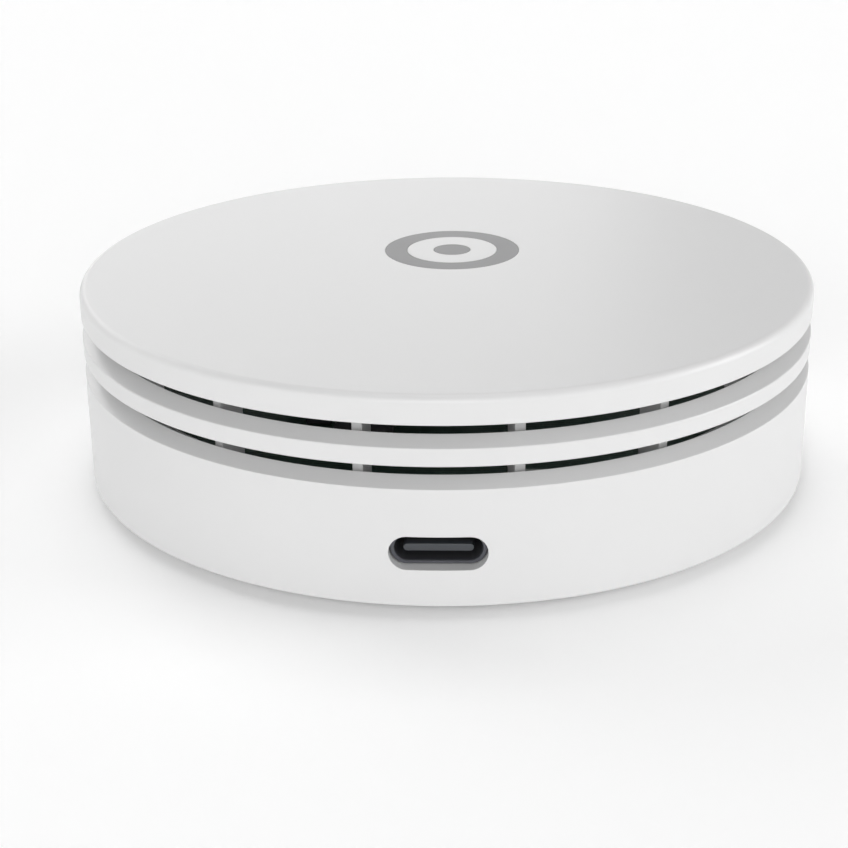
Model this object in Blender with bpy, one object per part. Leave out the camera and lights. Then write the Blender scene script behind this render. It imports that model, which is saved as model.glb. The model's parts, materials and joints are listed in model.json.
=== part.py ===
"""Smart home hub: a white round puck, 80 mm across and 22.5 mm high.

Three tiers of one diameter stand on the Z axis, parted by two cooling grooves:
the lower housing, a narrow ring band and the top cover. The floors of the
grooves rise inwards like louvres. Fifteen ribs behind the grooves carry the
band and keep the tiers apart. The USB-C socket faces -Y.

The stack is clamped by three long screws, at both sides and at the back. They
pass the base plate's posts and the main board and bite in bosses under the top
cover, so the cover presses the vent ring down on the housing's ledge, and the
base plate holds the housing up. Behind the front grooves only the board shows.

The origin is the centre of the footprint, at the bottom of the rubber feet.
"""

from math import cos, pi, radians, sin

import bmesh
import bpy
from mathutils import Matrix

MM = 0.001                      # every size below is in millimetres

GAP = 0.3                       # room left between pieces that meet
SIDES = 72                      # flats round the large turned pieces
BOSS_SIDES = 16                 # flats round bosses, screws and feet

# Tiers, bottom to top
RADIUS = 40.0
FOOT_SHOWING = 1.2              # daylight between the table and the housing
HOUSING_HEIGHT = 12.04
BAND_HEIGHT = 1.84
GROOVE_HEIGHT = 2.26
RIM_HEIGHT = 2.9

HOUSING_BOTTOM = FOOT_SHOWING
HOUSING_TOP = HOUSING_BOTTOM + HOUSING_HEIGHT
BAND_BOTTOM = HOUSING_TOP + GROOVE_HEIGHT
BAND_TOP = BAND_BOTTOM + BAND_HEIGHT
RIM_BOTTOM = BAND_TOP + GROOVE_HEIGHT
COVER_TOP = RIM_BOTTOM + RIM_HEIGHT

# Vent ring
RIB_COUNT = 15
RIB_STEP = 360.0 / RIB_COUNT    # the socket faces the middle between two ribs
RIB_WIDTH = 1.05
RIB_BACK = 33.7
RIB_FRONT = 36.8
BAND_INNER = 36.3
HOOP_INNER = 35.2
HOOP_HEIGHT = 0.6
RIM_INNER = RIB_FRONT + 0.15    # inside of the cover's rim, just in front of the ribs

# Groove floors: cones that rise from the skin to a lip, steep behind it
LIP_RADIUS = 38.05
LIP_RISE = 0.72
LIP_BACK = 37.6                 # the floor's upright back face
LIP_BACK_DROP = 0.36            # how far below the lip that face starts

# Walls
WALL = 2.0
BASE_THICKNESS = 1.8
BASE_RECESS = 0.2               # the base plate sits this far inside the edge
BASE_BOTTOM = HOUSING_BOTTOM + BASE_RECESS
BASE_TOP = BASE_BOTTOM + BASE_THICKNESS
COVER_CEILING = COVER_TOP - WALL

# USB-C receptacle, standard sizes
PORT_WIDTH = 9.5
PORT_HEIGHT = 3.5
PORT_LEVEL = 6.69
SHELL_WIDTH = 8.94
SHELL_HEIGHT = 3.16
SHELL_WALL = 0.3
SHELL_LENGTH = 7.35
SHELL_MOUTH = -38.6             # y of the mouth, 1.4 inside the housing's skin
TONGUE_WIDTH = 6.69
TONGUE_THICKNESS = 0.7
TONGUE_SETBACK = 0.1

# Main board, over the receptacle
BOARD_RADIUS = 37.0
BOARD_THICKNESS = 1.6
BOARD_BOTTOM = PORT_LEVEL + SHELL_HEIGHT / 2 + GAP
BOARD_TOP = BOARD_BOTTOM + BOARD_THICKNESS
PARTS_LEVEL = BOARD_TOP + 0.1   # solder height under the mounted components

# The housing's ledge, which carries the vent ring
LEDGE_INNER = 35.2
LEDGE_BOTTOM = BOARD_TOP + GAP
LEDGE_TOP = LEDGE_BOTTOM + 0.8
HOOP_BOTTOM = LEDGE_TOP + GAP

# Four rubber feet; three of them hide the clamp screws
FOOT_CIRCLE = 27.0
SCREW_ANGLES = (0, 90, 180)
FOOT_ANGLES = (0, 90, 180, 270)
SCREW_RADIUS = 1.25
SCREW_HOLE = 1.5
HEAD_RADIUS = 2.1
HEAD_HEIGHT = 1.4
HEAD_POCKET = 2.35
POCKET_TOP = 4.2
POST_RADIUS = 3.4
BOSS_RADIUS = 3.0
SCREW_TIP = 17.0
FOOT_RADIUS = 4.0
FOOT_HEIGHT = 1.7
FOOT_POCKET_TOP = 2.0

# Reset button, in a dish under the base, below the switch on the board
BUTTON_Y = 14.0
BUTTON_RADIUS = 1.3
BUTTON_HOLE = 1.6
BUTTON_FLANGE = 2.5
BUTTON_TRAVEL = 0.3
DISH_RADIUS = 3.0
DISH_DEPTH = 0.5
SWITCH_SIZE = 6.0
SWITCH_HEIGHT = 3.4
PLUNGER_RADIUS = 1.6

# Inlaid mark on the cover: a plain ring round a dot
MARK_X = 0.6
MARK_Y = 6.4
MARK_OUTER = 7.6
MARK_INNER = 5.1
MARK_DOT = 2.1
MARK_THICKNESS = 0.3
MARK_POCKET = 0.55
MARK_EDGE = 0.1                 # room beside the inlay

# Blank label in a shallow recess under the base
LABEL_SIZE = (34.0, 18.0)
LABEL_Y = -6.0
LABEL_THICKNESS = 0.15
LABEL_RECESS = 0.4


# ---------------------------------------------------------------- helpers

def clear_scene():
    for thing in list(bpy.data.objects):
        bpy.data.objects.remove(thing)


def finish(name, colour, roughness, metallic=0.0):
    """One Principled material for a family of pieces."""
    made = bpy.data.materials.new(name)
    made.use_nodes = True
    shader = made.node_tree.nodes["Principled BSDF"]
    shader.inputs["Base Color"].default_value = (*colour, 1.0)
    shader.inputs["Roughness"].default_value = roughness
    shader.inputs["Metallic"].default_value = metallic
    return made


def arc(centre, radius, start, end, steps):
    """Points on a circular arc, from one angle in degrees to another."""
    angles = [radians(start + (end - start) * i / steps) for i in range(steps + 1)]
    return [(centre[0] + radius * cos(a), centre[1] + radius * sin(a)) for a in angles]


def stadium(width, height, steps=8):
    """Outline of a slot with round ends, centred on (0, 0)."""
    end = height / 2
    reach = width / 2 - end
    return arc((reach, 0), end, -90, 90, steps) + arc((-reach, 0), end, 90, 270, steps)


def rounded(width, height, corner, steps=3):
    """Outline of a rectangle with round corners, centred on (0, 0)."""
    x, y = width / 2 - corner, height / 2 - corner
    return (arc((x, y), corner, 0, 90, steps) + arc((-x, y), corner, 90, 180, steps)
            + arc((-x, -y), corner, 180, 270, steps) + arc((x, -y), corner, 270, 360, steps))


def add_turned(bm, outline, sides, centre=(0.0, 0.0)):
    """Turn an outline of (radius, height) points once round a vertical axis."""
    x, y = centre
    ring = [bm.verts.new(((x + r) * MM, y * MM, z * MM)) for r, z in outline]
    edges = []
    for here, there in zip(range(len(ring)), [*range(1, len(ring)), 0]):
        on_axis = outline[here][0] == 0 and outline[there][0] == 0
        if not on_axis:
            edges.append(bm.edges.new((ring[here], ring[there])))
    bmesh.ops.spin(bm, geom=ring + edges, cent=(x * MM, y * MM, 0), axis=(0, 0, 1),
                   angle=2 * pi, steps=sides, use_merge=True)


def add_rod(bm, radius, bottom, top, sides=BOSS_SIDES, centre=(0.0, 0.0)):
    add_turned(bm, [(0, bottom), (radius, bottom), (radius, top), (0, top)], sides, centre)


def add_tube(bm, inner, outer, bottom, top, sides=SIDES, centre=(0.0, 0.0)):
    outline = [(inner, bottom), (outer, bottom), (outer, top), (inner, top)]
    add_turned(bm, outline, sides, centre)


def add_box(bm, size, centre, turn=0.0):
    """A box of a size round a centre, then turned round the Z axis."""
    place = Matrix.Rotation(radians(turn), 4, "Z") @ Matrix.Translation([c * MM for c in centre])
    stretch = Matrix.Diagonal([*[s * MM for s in size], 1.0])
    bmesh.ops.create_cube(bm, size=1.0, matrix=place @ stretch)


def add_prism(bm, outline, start, length, axis="Z"):
    """A flat outline pushed along Z, or along Y with the outline as (x, z)."""
    if axis == "Z":
        corners = [(x, y, start) for x, y in outline]
        push = (0, 0, length * MM)
    else:
        corners = [(x, start, z) for x, z in outline]
        push = (0, length * MM, 0)
    face = bm.faces.new([bm.verts.new([c * MM for c in corner]) for corner in corners])
    pushed = bmesh.ops.extrude_face_region(bm, geom=[face])["geom"]
    moved = [item for item in pushed if isinstance(item, bmesh.types.BMVert)]
    bmesh.ops.translate(bm, verts=moved, vec=push)


def mesh_of(name, bm):
    """Close the bmesh into a mesh with its faces pointing out."""
    bmesh.ops.remove_doubles(bm, verts=bm.verts, dist=0.001 * MM)
    bmesh.ops.recalc_face_normals(bm, faces=bm.faces)
    mesh = bpy.data.meshes.new(name)
    bm.to_mesh(mesh)
    bm.free()
    mesh.shade_smooth()
    mesh.set_sharp_from_angle(angle=radians(30))
    return mesh


def place(name, mesh, material, parent, at=(0.0, 0.0, 0.0)):
    """Put a mesh in the scene as a piece, at a place in the hub's frame."""
    if not mesh.materials:
        mesh.materials.append(material)
    piece = bpy.data.objects.new(name, mesh)
    bpy.context.collection.objects.link(piece)
    piece.parent = parent
    piece.location = [c * MM - p for c, p in zip(at, parent.location)]
    return piece


def tool(name, bm, piece, operation):
    """Cut a piece with a hidden tool, or join the tool to it."""
    helper = bpy.data.objects.new(name, mesh_of(name, bm))
    bpy.context.collection.objects.link(helper)
    helper.hide_render = True
    helper.display_type = "WIRE"
    step = piece.modifiers.new(name, "BOOLEAN")
    step.operation = operation
    step.solver = "EXACT"
    step.object = helper


def empty(name, at=(0.0, 0.0, 0.0)):
    axis = bpy.data.objects.new(name, None)
    bpy.context.collection.objects.link(axis)
    axis.location = [c * MM for c in at]
    return axis


def places(angles):
    """Centres on the circle of the feet, from their angles round Z."""
    return [(FOOT_CIRCLE * cos(radians(a)), FOOT_CIRCLE * sin(radians(a))) for a in angles]


# ---------------------------------------------------------------- shells

def make_top_cover(hub, white):
    """Lid with a rounded rim, a locating wall and three long screw bosses."""
    fillet, edge = 0.8, 0.15
    wall_outer = RIB_BACK - GAP
    wall_inner = wall_outer - 1.5
    wall_bottom = RIM_BOTTOM - 0.4
    outline = [(0, COVER_TOP)]
    outline += arc((RADIUS - fillet, COVER_TOP - fillet), fillet, 90, 0, 4)
    outline += [(RADIUS, RIM_BOTTOM + edge), (RADIUS - edge, RIM_BOTTOM),
                (RIM_INNER, RIM_BOTTOM), (RIM_INNER, COVER_CEILING),
                (wall_outer, COVER_CEILING), (wall_outer, wall_bottom),
                (wall_inner, wall_bottom), (wall_inner, COVER_CEILING), (0, COVER_CEILING)]
    bm = bmesh.new()
    add_turned(bm, outline, SIDES)
    cover = place("top_cover", mesh_of("top_cover", bm), white, hub)

    bm = bmesh.new()
    for centre in places(SCREW_ANGLES):
        add_rod(bm, BOSS_RADIUS, BOARD_TOP + GAP, COVER_CEILING + WALL / 2, centre=centre)
    tool("cover_bosses", bm, cover, "UNION")

    bm = bmesh.new()
    for centre in places(SCREW_ANGLES):
        add_rod(bm, SCREW_HOLE, BOARD_TOP, SCREW_TIP + 1, centre=centre)
    tool("cover_boss_holes", bm, cover, "DIFFERENCE")

    bm = bmesh.new()
    floor, above = COVER_TOP - MARK_POCKET, COVER_TOP + 1
    middle = (MARK_X, MARK_Y)
    add_tube(bm, MARK_INNER - MARK_EDGE, MARK_OUTER + MARK_EDGE, floor, above, 48, middle)
    add_rod(bm, MARK_DOT + MARK_EDGE, floor, above, centre=middle)
    tool("cover_mark_pocket", bm, cover, "DIFFERENCE")


def make_mark(hub, grey):
    """The inlay: its top lies flush with the cover."""
    bottom = COVER_TOP - MARK_THICKNESS
    bm = bmesh.new()
    add_tube(bm, MARK_INNER, MARK_OUTER, 0, MARK_THICKNESS, 48)
    place("badge_ring", mesh_of("badge_ring", bm), grey, hub, (MARK_X, MARK_Y, bottom))
    bm = bmesh.new()
    add_rod(bm, MARK_DOT, 0, MARK_THICKNESS)
    place("badge_dot", mesh_of("badge_dot", bm), grey, hub, (MARK_X, MARK_Y, bottom))


def groove_floor(level, edge):
    """A groove's floor from the skin inwards: a broken edge, a cone, a lip and its back."""
    slope = LIP_RISE / (RADIUS - LIP_RADIUS)
    return [(RADIUS - edge, level + edge * slope), (LIP_RADIUS, level + LIP_RISE),
            (LIP_BACK, level + LIP_RISE - LIP_BACK_DROP)]


def make_vent_ring(hub, white):
    """Ring band on fifteen ribs, tied by a hoop at their heads and their feet."""
    edge = 0.15
    web_top = BAND_BOTTOM + 0.9
    rib_top = COVER_CEILING - GAP
    bm = bmesh.new()
    add_turned(bm, [(BAND_INNER, BAND_BOTTOM), (RADIUS - edge, BAND_BOTTOM),
                    (RADIUS, BAND_BOTTOM + edge), (RADIUS, BAND_TOP - edge),
                    *groove_floor(BAND_TOP, edge), (LIP_BACK, web_top),
                    (BAND_INNER, web_top)], SIDES)
    ring = place("vent_ring", mesh_of("vent_ring", bm), white, hub)

    bm = bmesh.new()
    size = (RIB_WIDTH, RIB_FRONT - RIB_BACK, rib_top - HOOP_BOTTOM)
    centre = (0, -(RIB_FRONT + RIB_BACK) / 2, (rib_top + HOOP_BOTTOM) / 2)
    for i in range(RIB_COUNT):
        add_box(bm, size, centre, turn=(i + 0.5) * RIB_STEP)
    tool("vent_ribs", bm, ring, "UNION")

    bm = bmesh.new()
    inside_ribs = RIB_FRONT - 0.1
    add_tube(bm, HOOP_INNER, inside_ribs, HOOP_BOTTOM + 0.05, HOOP_BOTTOM + HOOP_HEIGHT)
    add_tube(bm, HOOP_INNER, inside_ribs, rib_top - HOOP_HEIGHT, rib_top - 0.05)
    tool("vent_hoops", bm, ring, "UNION")


def make_lower_housing(hub, white):
    """Outer wall with a groove floor, a ledge for the vent ring and the port's slot."""
    edge = 0.3
    inner = RADIUS - WALL
    outline = [(RADIUS, HOUSING_BOTTOM + edge), (RADIUS, HOUSING_TOP - edge / 2),
               *groove_floor(HOUSING_TOP, edge / 2),
               (LIP_BACK, LEDGE_TOP), (LEDGE_INNER, LEDGE_TOP),
               (LEDGE_INNER, LEDGE_BOTTOM), (inner, LEDGE_BOTTOM),
               (inner, HOUSING_BOTTOM), (RADIUS - edge, HOUSING_BOTTOM)]
    bm = bmesh.new()
    add_turned(bm, outline, SIDES)
    housing = place("lower_housing", mesh_of("lower_housing", bm), white, hub)

    # Five blocks inside the wall stand on the base plate and steady the board.
    bm = bmesh.new()
    bottom, top = BASE_TOP + GAP, BOARD_BOTTOM - GAP
    depth = 2.6
    for angle in (60, 120, 180, 240, 300):
        add_box(bm, (3.0, depth, top - bottom),
                (0, -(inner + 0.4 - depth / 2), (bottom + top) / 2), turn=angle)
    tool("housing_blocks", bm, housing, "UNION")

    bm = bmesh.new()
    slot = [(x, z + PORT_LEVEL) for x, z in stadium(PORT_WIDTH, PORT_HEIGHT)]
    add_prism(bm, slot, -(RADIUS + 1), WALL + 3, axis="Y")
    tool("housing_port", bm, housing, "DIFFERENCE")


def make_base_plate(hub, white):
    """Bottom disc with screw posts, foot pockets and the button's dish."""
    edge = 0.3
    radius = RADIUS - WALL - GAP
    bm = bmesh.new()
    add_turned(bm, [(0, BASE_BOTTOM), (radius - edge, BASE_BOTTOM), (radius, BASE_BOTTOM + edge),
                    (radius, BASE_TOP), (0, BASE_TOP)], SIDES)
    base = place("base_plate", mesh_of("base_plate", bm), white, hub)

    bm = bmesh.new()
    for centre in places(SCREW_ANGLES):
        add_rod(bm, POST_RADIUS, BASE_TOP - 0.8, BOARD_BOTTOM - GAP, centre=centre)
    tool("base_posts", bm, base, "UNION")

    bm = bmesh.new()
    below = BASE_BOTTOM - 1
    foot_pocket = [(0, below), (FOOT_RADIUS + GAP, below), (FOOT_RADIUS + GAP, FOOT_POCKET_TOP)]
    screw_way = [(HEAD_POCKET, FOOT_POCKET_TOP), (HEAD_POCKET, POCKET_TOP),
                 (SCREW_HOLE, POCKET_TOP), (SCREW_HOLE, BOARD_BOTTOM), (0, BOARD_BOTTOM)]
    for angle in FOOT_ANGLES:
        rest = screw_way if angle in SCREW_ANGLES else [(0, FOOT_POCKET_TOP)]
        add_turned(bm, foot_pocket + rest, BOSS_SIDES, *places([angle]))
    dish = [(0, below), (DISH_RADIUS, below), (DISH_RADIUS, BASE_BOTTOM + DISH_DEPTH),
            (BUTTON_HOLE, BASE_BOTTOM + DISH_DEPTH), (BUTTON_HOLE, BASE_TOP + 1), (0, BASE_TOP + 1)]
    add_turned(bm, dish, BOSS_SIDES, (0.0, BUTTON_Y))
    label = rounded(LABEL_SIZE[0] + GAP, LABEL_SIZE[1] + GAP, 2.0)
    label = [(x, y + LABEL_Y) for x, y in label]
    add_prism(bm, label, below, BASE_BOTTOM + LABEL_RECESS - below)
    tool("base_pockets", bm, base, "DIFFERENCE")


def make_feet_and_screws(hub, rubber, steel):
    edge = 0.4
    bm = bmesh.new()
    outline = [(0, 0), (FOOT_RADIUS - edge, 0)]
    outline += arc((FOOT_RADIUS - edge, edge), edge, -60, 0, 2)
    outline += [(FOOT_RADIUS, FOOT_HEIGHT), (0, FOOT_HEIGHT)]
    add_turned(bm, outline, BOSS_SIDES)
    foot = mesh_of("rubber_foot", bm)

    head_top = POCKET_TOP - 0.2
    head_bottom = head_top - HEAD_HEIGHT
    drive_radius, drive_top = 0.9, head_bottom + 0.9
    bm = bmesh.new()
    add_turned(bm, [(0, drive_top), (drive_radius, drive_top), (drive_radius, head_bottom),
                    (HEAD_RADIUS - 0.2, head_bottom), (HEAD_RADIUS, head_bottom + 0.3),
                    (HEAD_RADIUS, head_top), (SCREW_RADIUS, head_top),
                    (SCREW_RADIUS, SCREW_TIP - 0.5), (SCREW_RADIUS - 0.4, SCREW_TIP),
                    (0, SCREW_TIP)], 12)
    screw = mesh_of("base_screw", bm)

    for number, (x, y) in enumerate(places(FOOT_ANGLES), start=1):
        place(f"rubber_foot_{number}", foot, rubber, hub, (x, y, 0))
    for number, (x, y) in enumerate(places(SCREW_ANGLES), start=1):
        place(f"base_screw_{number}", screw, steel, hub, (x, y, 0))


def make_label(hub, paper):
    bm = bmesh.new()
    add_prism(bm, rounded(*LABEL_SIZE, 1.8), 0, LABEL_THICKNESS)
    mesh = mesh_of("rating_label", bm)
    place("rating_label", mesh, paper, hub, (0, LABEL_Y, BASE_BOTTOM + 0.02))


# ---------------------------------------------------------------- electronics

def make_main_board(hub, solder_mask):
    bm = bmesh.new()
    add_rod(bm, BOARD_RADIUS, BOARD_BOTTOM, BOARD_TOP, SIDES)
    board = place("main_board", mesh_of("main_board", bm), solder_mask, hub)
    bm = bmesh.new()
    for centre in places(SCREW_ANGLES):
        add_rod(bm, SCREW_HOLE, BOARD_BOTTOM - 1, BOARD_TOP + 1, centre=centre)
    tool("board_holes", bm, board, "DIFFERENCE")


def make_usb_socket(hub, steel, black):
    """Stadium shell, closed at the back, round a tongue on its own block."""
    back = SHELL_MOUTH + SHELL_LENGTH
    middle = (0, 0, PORT_LEVEL)
    bm = bmesh.new()
    add_prism(bm, stadium(SHELL_WIDTH, SHELL_HEIGHT), SHELL_MOUTH, SHELL_LENGTH, axis="Y")
    shell = place("usb_shell", mesh_of("usb_shell", bm), steel, hub, middle)
    bm = bmesh.new()
    inside = stadium(SHELL_WIDTH - 2 * SHELL_WALL, SHELL_HEIGHT - 2 * SHELL_WALL)
    inside = [(x, z + PORT_LEVEL) for x, z in inside]
    add_prism(bm, inside, SHELL_MOUTH - 1, SHELL_LENGTH + 1 - SHELL_WALL, axis="Y")
    tool("usb_cavity", bm, shell, "DIFFERENCE")

    block_length = 1.6
    block_back = back - SHELL_WALL - 0.1
    bm = bmesh.new()
    filler = stadium(SHELL_WIDTH - 2 * SHELL_WALL - 0.2, SHELL_HEIGHT - 2 * SHELL_WALL - 0.2)
    add_prism(bm, filler, block_back - block_length, block_length, axis="Y")
    tongue = place("usb_tongue", mesh_of("usb_tongue", bm), black, hub, middle)
    front = SHELL_MOUTH + TONGUE_SETBACK
    length = block_back - 0.5 - front
    bm = bmesh.new()
    add_box(bm, (TONGUE_WIDTH, length, TONGUE_THICKNESS),
            (0, front + length / 2, PORT_LEVEL))
    tool("usb_blade", bm, tongue, "UNION")


def make_chip(name, size, at, material, hub, corner=0.15, level=PARTS_LEVEL):
    """A component's body, with its lower face at a level above the board."""
    bm = bmesh.new()
    add_box(bm, size, (0, 0, size[2] / 2))
    bmesh.ops.bevel(bm, geom=bm.edges[:], offset=corner * MM, segments=1,
                    affect="EDGES", profile=0.5, material=-1)
    place(name, mesh_of(name, bm), material, hub, (*at, level))


def make_can(name, size, at, material, hub, level=PARTS_LEVEL):
    """A folded metal can over components, open underneath."""
    sheet = 0.25
    bm = bmesh.new()
    add_box(bm, size, (0, 0, size[2] / 2))
    can = place(name, mesh_of(name, bm), material, hub, (*at, level))
    bm = bmesh.new()
    inner = (size[0] - 2 * sheet, size[1] - 2 * sheet, size[2] - sheet + 1)
    add_box(bm, inner, (at[0], at[1], level - 1 + inner[2] / 2))
    tool(f"{name}_inside", bm, can, "DIFFERENCE")


def make_antenna(name, at, turn, material, hub):
    """Inverted-F antenna of thin sheet, standing on two legs."""
    length, height, leg, sheet = 15.0, 4.0, 1.0, 0.3
    left, feed = -length / 2, -length / 2 + 4.0
    outline = [(left, 0), (left + leg, 0), (left + leg, height - leg), (feed, height - leg),
               (feed, 0), (feed + leg, 0), (feed + leg, height - leg),
               (-left, height - leg), (-left, height), (left, height)]
    bm = bmesh.new()
    add_prism(bm, outline, -sheet / 2, sheet, axis="Y")
    bmesh.ops.rotate(bm, verts=bm.verts, cent=(0, 0, 0), matrix=Matrix.Rotation(radians(turn), 3, "Z"))
    place(name, mesh_of(name, bm), material, hub, (*at, PARTS_LEVEL))


def make_heat_sink(at, level, material, hub):
    """Black comb of fins, glued over the processor's thermal pad."""
    width, depth, plate, fin_height, fin, fins = 15.0, 13.0, 1.0, 2.6, 0.8, 6
    pitch = (width - fin) / (fins - 1)
    outline = [(-width / 2, 0), (width / 2, 0)]
    for i in reversed(range(fins)):
        left = -width / 2 + i * pitch
        outline += [(left + fin, plate + fin_height), (left, plate + fin_height)]
        if i > 0:
            outline += [(left, plate), (left - pitch + fin, plate)]
    bm = bmesh.new()
    add_prism(bm, outline, -depth / 2, depth, axis="Y")
    place("heat_sink", mesh_of("heat_sink", bm), material, hub, (*at, level))


def make_components(hub, chip_black, tin, solder_mask, ferrite, gold, pad_blue, lens, anodised):
    # Processor under its heat sink, then memory and flash in a shielding can.
    core = (-11, -5.5)
    chip_height, pad_height, glue = 1.1, 0.6, 0.1
    make_chip("processor", (12, 12, chip_height), core, chip_black, hub)
    pad_level = PARTS_LEVEL + chip_height + glue
    make_chip("thermal_pad", (11, 11, pad_height), core, pad_blue, hub, 0.1, pad_level)
    make_heat_sink(core, pad_level + pad_height + glue, anodised, hub)
    make_chip("memory_chip", (9, 11, 1.0), (3.5, 5), chip_black, hub)
    make_chip("flash_chip", (6, 8, 0.9), (13, 5), chip_black, hub)
    make_can("memory_shield", (20, 15, 2.3), (7.5, 5), tin, hub)

    # Two radio modules at the back, each a small board with its own can.
    module_board = 0.8
    above_module = PARTS_LEVEL + module_board + 0.1
    make_chip("wifi_module_board", (14, 16, module_board), (-13, 18), solder_mask, hub, 0.1)
    make_can("wifi_module_shield", (12, 11, 1.8), (-13, 16), tin, hub, above_module)
    make_chip("zigbee_module_board", (13, 12, module_board), (13.5, 20), solder_mask, hub, 0.1)
    make_can("zigbee_module_shield", (10, 9, 1.8), (13.5, 19), tin, hub, above_module)
    make_antenna("wifi_antenna", (-25.5, 13), 60, gold, hub)
    make_antenna("zigbee_antenna", (25.5, 13), 120, gold, hub)

    # Power supply behind the socket, then the clock and the status light.
    make_chip("power_inductor", (6, 6, 2.8), (-8, -20), ferrite, hub, 0.6)
    make_chip("regulator_chip", (4, 4, 0.9), (-1.5, -14), chip_black, hub)
    for number, x in enumerate((-13.0, -9.2, -5.4), start=1):
        make_chip(f"capacitor_{number}", (2.8, 3.5, 1.9), (x, -15), chip_black, hub, 0.2)
    make_chip("crystal", (3.2, 2.5, 0.8), (0.5, -6.5), tin, hub, 0.2)
    make_chip("status_led", (3.2, 1.6, 1.0), (9.0, -31.0), lens, hub, 0.2)


def make_reset_switch(hub, white, chip_black, steel):
    """Tact switch under the board, worked by a button in the base plate."""
    switch_bottom = BOARD_BOTTOM - GAP - SWITCH_HEIGHT
    well_top = switch_bottom + 1.4
    bm = bmesh.new()
    add_box(bm, (SWITCH_SIZE, SWITCH_SIZE, SWITCH_HEIGHT), (0, 0, SWITCH_HEIGHT / 2))
    body = mesh_of("switch_body", bm)
    switch = place("switch_body", body, chip_black, hub, (0, BUTTON_Y, switch_bottom))
    bm = bmesh.new()
    add_rod(bm, PLUNGER_RADIUS + 0.25, switch_bottom - 1, well_top, 20, (0.0, BUTTON_Y))
    tool("switch_well", bm, switch, "DIFFERENCE")

    # The button and the plunger rise together along this axis.
    axis = empty("reset_axis", (0, BUTTON_Y, BASE_BOTTOM))
    axis.parent = hub
    flange_bottom = BASE_TOP + GAP
    flange_top = flange_bottom + 0.6
    button_bottom = BASE_BOTTOM + 0.15
    edge = 0.2
    bm = bmesh.new()
    add_turned(bm, [(0, button_bottom), (BUTTON_RADIUS - edge, button_bottom),
                    (BUTTON_RADIUS, button_bottom + edge), (BUTTON_RADIUS, flange_bottom),
                    (BUTTON_FLANGE, flange_bottom), (BUTTON_FLANGE, flange_top),
                    (0, flange_top)], 20)
    bmesh.ops.translate(bm, verts=bm.verts, vec=(0, 0, -BASE_BOTTOM * MM))
    place("reset_button", mesh_of("reset_button", bm), white, axis, (0, BUTTON_Y, BASE_BOTTOM))
    plunger_bottom = flange_top + 0.2
    plunger_top = well_top - BUTTON_TRAVEL - GAP
    bm = bmesh.new()
    add_rod(bm, PLUNGER_RADIUS, 0, plunger_top - plunger_bottom, 20)
    mesh = mesh_of("switch_plunger", bm)
    place("switch_plunger", mesh, steel, axis, (0, BUTTON_Y, plunger_bottom))


# ---------------------------------------------------------------- assembly

def main():
    clear_scene()
    white = finish("white_abs", (0.80, 0.80, 0.80), 0.45)
    grey = finish("grey_inlay", (0.33, 0.33, 0.34), 0.35, 0.6)
    rubber = finish("grey_rubber", (0.10, 0.10, 0.10), 0.85)
    steel = finish("plated_steel", (0.35, 0.35, 0.37), 0.35, 1.0)
    shell_steel = finish("dark_plated_shell", (0.10, 0.10, 0.11), 0.35, 1.0)
    paper = finish("white_paper", (0.75, 0.75, 0.73), 0.7)
    solder_mask = finish("dark_green_board", (0.01, 0.03, 0.02), 0.4)
    chip_black = finish("chip_epoxy", (0.02, 0.02, 0.02), 0.5)
    tin = finish("tinned_steel", (0.55, 0.55, 0.56), 0.35, 1.0)
    ferrite = finish("ferrite", (0.05, 0.05, 0.05), 0.6)
    gold = finish("plated_antenna", (0.70, 0.50, 0.20), 0.3, 1.0)
    pad_blue = finish("thermal_pad_silicone", (0.25, 0.35, 0.55), 0.8)
    lens = finish("led_lens", (0.80, 0.82, 0.80), 0.2)
    anodised = finish("black_anodised", (0.02, 0.02, 0.02), 0.4, 1.0)

    hub = empty("hub_axis")
    make_top_cover(hub, white)
    make_mark(hub, grey)
    make_vent_ring(hub, white)
    make_lower_housing(hub, white)
    make_base_plate(hub, white)
    make_feet_and_screws(hub, rubber, steel)
    make_label(hub, paper)
    make_main_board(hub, solder_mask)
    make_usb_socket(hub, shell_steel, chip_black)
    make_components(hub, chip_black, tin, solder_mask, ferrite, gold, pad_blue, lens, anodised)
    make_reset_switch(hub, white, chip_black, steel)


main()
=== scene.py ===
# %% [markdown]
# # A smart home hub
#
# The hub is a white plastic puck, 80 mm across, in three tiers: a lower housing with the power
# socket, a narrow ring band, and a cover with a small grey mark. Two grooves let air through.
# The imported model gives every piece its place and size. This file gives the pieces their fine
# surfaces and finishes. Each step is a short cell, and each cell prints what it made.

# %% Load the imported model
import json
from math import atan2, cos, degrees, pi, radians, sin, sqrt, tan

import bmesh
import bpy
from mathutils import Matrix, Vector


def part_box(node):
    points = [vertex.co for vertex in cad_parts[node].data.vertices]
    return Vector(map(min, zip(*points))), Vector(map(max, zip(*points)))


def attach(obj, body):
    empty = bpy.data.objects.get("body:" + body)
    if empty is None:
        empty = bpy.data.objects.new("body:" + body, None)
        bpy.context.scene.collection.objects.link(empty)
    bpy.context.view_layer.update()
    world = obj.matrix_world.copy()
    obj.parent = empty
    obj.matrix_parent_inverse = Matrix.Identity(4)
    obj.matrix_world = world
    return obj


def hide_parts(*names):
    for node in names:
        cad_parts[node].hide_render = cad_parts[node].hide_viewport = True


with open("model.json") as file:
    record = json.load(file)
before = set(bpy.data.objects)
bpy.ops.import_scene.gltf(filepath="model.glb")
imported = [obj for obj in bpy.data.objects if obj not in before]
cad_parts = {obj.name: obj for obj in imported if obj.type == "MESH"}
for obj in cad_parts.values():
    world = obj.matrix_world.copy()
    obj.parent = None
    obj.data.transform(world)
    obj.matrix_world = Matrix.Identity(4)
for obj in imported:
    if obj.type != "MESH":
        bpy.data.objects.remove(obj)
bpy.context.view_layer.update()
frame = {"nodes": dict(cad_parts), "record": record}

MM = 0.001
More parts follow.
